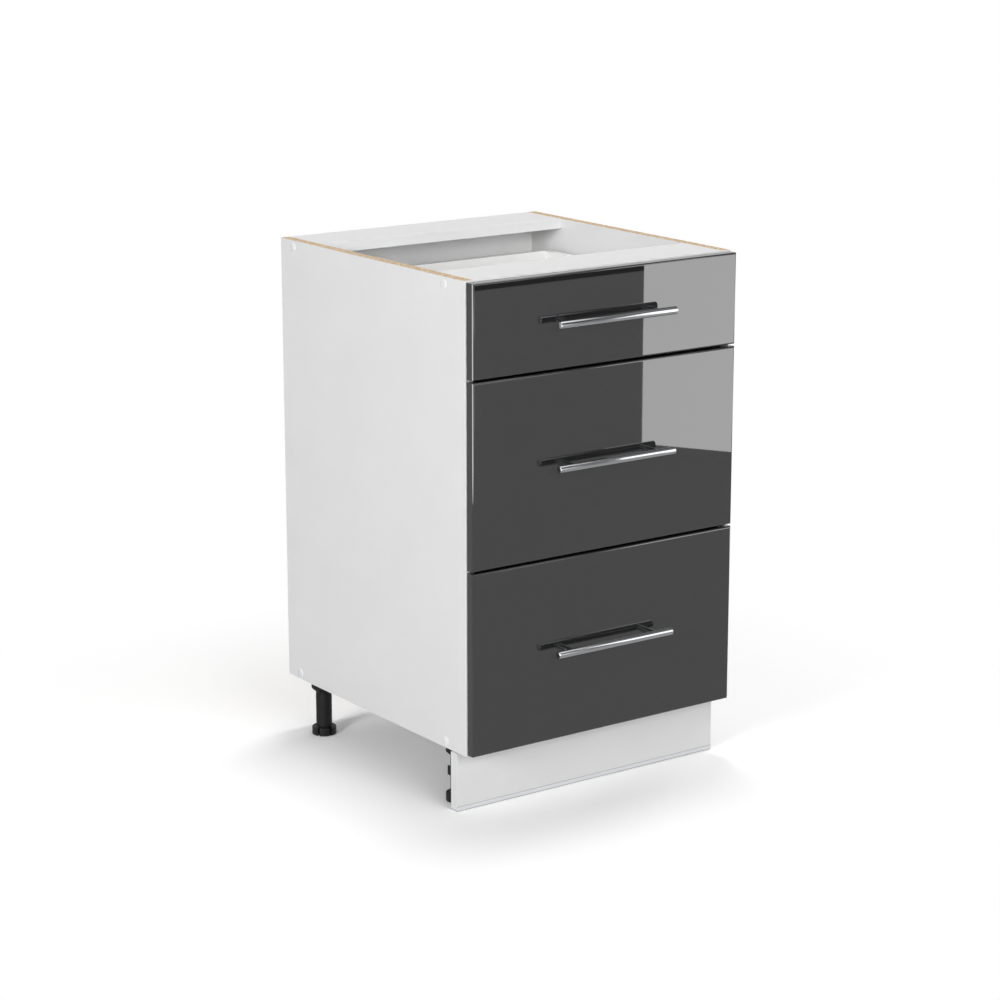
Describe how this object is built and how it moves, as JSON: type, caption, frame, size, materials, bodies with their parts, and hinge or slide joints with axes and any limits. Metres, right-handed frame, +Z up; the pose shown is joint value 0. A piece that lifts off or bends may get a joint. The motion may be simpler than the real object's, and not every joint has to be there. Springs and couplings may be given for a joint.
{
  "type": "base cabinet",
  "caption": "Base cabinet for a bathroom: white board carcass, full-width drawers on roller runners, dark gloss slab fascias, chrome bar handles, clip-on plinth and screw-adjusted legs.",
  "frame": {"origin": "on the floor, in the middle of the width and of the whole depth from handle bars to rear edges", "axes": "+Z up; the drawers face -Y and open along -Y; +X to the right of someone facing the drawers"},
  "size_m": [0.5032, 0.5582, 0.82],
  "materials": {
    "melamine_board": "white melamine-faced chipboard, satin, raw chipboard on the top edges of the side panels",
    "hardboard": "thin hardboard, white on its face",
    "gloss_fascia": "fibreboard with a high-gloss anthracite foil and rounded edges",
    "chrome": "polished chrome plate",
    "runner_steel": "white epoxy-coated sheet steel",
    "nylon": "natural white nylon",
    "black_plastic": "moulded black plastic with a fine satin grain",
    "zinc": "bright zinc-plated steel",
    "beech": "plain turned beech",
    "grey_seal": "pale grey extruded PVC",
    "clear_pad": "clear soft plastic",
    "cap_white": "moulded white plastic"
  },
  "bodies": {
    "carcass": {"side_panel_left": "melamine_board", "side_panel_right": "melamine_board", "bottom_panel": "melamine_board", "back_panel": "hardboard", "front_rail": "melamine_board", "rear_rail": "melamine_board", "carcass_screws": "zinc", "cover_caps": "cap_white", "dowels": "beech", "bumper_pads": "clear_pad", "cabinet_runners_left": "runner_steel", "cabinet_runners_right": "runner_steel", "runner_screws": "zinc", "leg_front_left": "black_plastic", "leg_front_right": "black_plastic", "leg_rear_left": "black_plastic", "leg_rear_right": "black_plastic", "leg_screws": "zinc"},
    "drawer_top": {"fascia_top": "gloss_fascia", "drawer_side_left_top": "melamine_board", "drawer_side_right_top": "melamine_board", "drawer_back_top": "melamine_board", "drawer_bottom_top": "hardboard", "drawer_runners_top": "runner_steel", "drawer_fixings_top": "zinc", "handle_bar_top": "chrome", "handle_posts_top": "chrome"},
    "front_rollers_top": {"front_rollers_top": "nylon"},
    "rear_rollers_top": {"rear_rollers_top": "nylon"},
    "drawer_middle": {"fascia_middle": "gloss_fascia", "drawer_side_left_middle": "melamine_board", "drawer_side_right_middle": "melamine_board", "drawer_back_middle": "melamine_board", "drawer_bottom_middle": "hardboard", "drawer_runners_middle": "runner_steel", "drawer_fixings_middle": "zinc", "handle_bar_middle": "chrome", "handle_posts_middle": "chrome"},
    "front_rollers_middle": {"front_rollers_middle": "nylon"},
    "rear_rollers_middle": {"rear_rollers_middle": "nylon"},
    "drawer_bottom": {"fascia_bottom": "gloss_fascia", "drawer_side_left_bottom": "melamine_board", "drawer_side_right_bottom": "melamine_board", "drawer_back_bottom": "melamine_board", "drawer_bottom_bottom": "hardboard", "drawer_runners_bottom": "runner_steel", "drawer_fixings_bottom": "zinc", "handle_bar_bottom": "chrome", "handle_posts_bottom": "chrome"},
    "front_rollers_bottom": {"front_rollers_bottom": "nylon"},
    "rear_rollers_bottom": {"rear_rollers_bottom": "nylon"},
    "foot_front_left": {"foot_front_left": "black_plastic"},
    "foot_front_right": {"foot_front_right": "black_plastic"},
    "foot_rear_left": {"foot_rear_left": "black_plastic"},
    "foot_rear_right": {"foot_rear_right": "black_plastic"},
    "plinth": {"plinth_board": "melamine_board", "plinth_seal": "grey_seal", "plinth_clips": "black_plastic", "plinth_clip_screws": "zinc"}
  },
  "joints": [
    {"name": "drawer_top_slide", "type": "slide", "parent": "carcass", "child": "drawer_top", "axis": [0, -1, 0], "range_m": [0, 0.3]},
    {"name": "front_rollers_top_turn", "type": "hinge", "parent": "carcass", "child": "front_rollers_top", "pos_m": [0, -0.2139, 0.6937], "axis": [1, 0, 0], "range_deg": [0, 1910]},
    {"name": "rear_rollers_top_turn", "type": "hinge", "parent": "drawer_top", "child": "rear_rollers_top", "pos_m": [0, 0.1559, 0.6933], "axis": [1, 0, 0], "range_deg": [0, 1910]},
    {"name": "drawer_middle_slide", "type": "slide", "parent": "carcass", "child": "drawer_middle", "axis": [0, -1, 0], "range_m": [0, 0.3]},
    {"name": "front_rollers_middle_turn", "type": "hinge", "parent": "carcass", "child": "front_rollers_middle", "pos_m": [0, -0.2139, 0.4232], "axis": [1, 0, 0], "range_deg": [0, 1910]},
    {"name": "rear_rollers_middle_turn", "type": "hinge", "parent": "drawer_middle", "child": "rear_rollers_middle", "pos_m": [0, 0.1559, 0.4228], "axis": [1, 0, 0], "range_deg": [0, 1910]},
    {"name": "drawer_bottom_slide", "type": "slide", "parent": "carcass", "child": "drawer_bottom", "axis": [0, -1, 0], "range_m": [0, 0.3]},
    {"name": "front_rollers_bottom_turn", "type": "hinge", "parent": "carcass", "child": "front_rollers_bottom", "pos_m": [0, -0.2139, 0.1347], "axis": [1, 0, 0], "range_deg": [0, 1910]},
    {"name": "rear_rollers_bottom_turn", "type": "hinge", "parent": "drawer_bottom", "child": "rear_rollers_bottom", "pos_m": [0, 0.1559, 0.1343], "axis": [1, 0, 0], "range_deg": [0, 1910]},
    {"name": "foot_front_left_height", "type": "slide", "parent": "carcass", "child": "foot_front_left", "axis": [0, 0, -1], "range_m": [0, 0.02]},
    {"name": "foot_front_right_height", "type": "slide", "parent": "carcass", "child": "foot_front_right", "axis": [0, 0, -1], "range_m": [0, 0.02]},
    {"name": "foot_rear_left_height", "type": "slide", "parent": "carcass", "child": "foot_rear_left", "axis": [0, 0, -1], "range_m": [0, 0.02]},
    {"name": "foot_rear_right_height", "type": "slide", "parent": "carcass", "child": "foot_rear_right", "axis": [0, 0, -1], "range_m": [0, 0.02]},
    {"name": "plinth_pull", "type": "slide", "parent": "carcass", "child": "plinth", "axis": [0, -1, 0], "range_m": [0, 0.05]}
  ],
  "couplings": [
    {"joint": "front_rollers_top_turn", "follows": "drawer_top_slide", "rad_per_m": 111.11},
    {"joint": "rear_rollers_top_turn", "follows": "drawer_top_slide", "rad_per_m": 111.11},
    {"joint": "front_rollers_middle_turn", "follows": "drawer_middle_slide", "rad_per_m": 111.11},
    {"joint": "rear_rollers_middle_turn", "follows": "drawer_middle_slide", "rad_per_m": 111.11},
    {"joint": "front_rollers_bottom_turn", "follows": "drawer_bottom_slide", "rad_per_m": 111.11},
    {"joint": "rear_rollers_bottom_turn", "follows": "drawer_bottom_slide", "rad_per_m": 111.11}
  ]
}
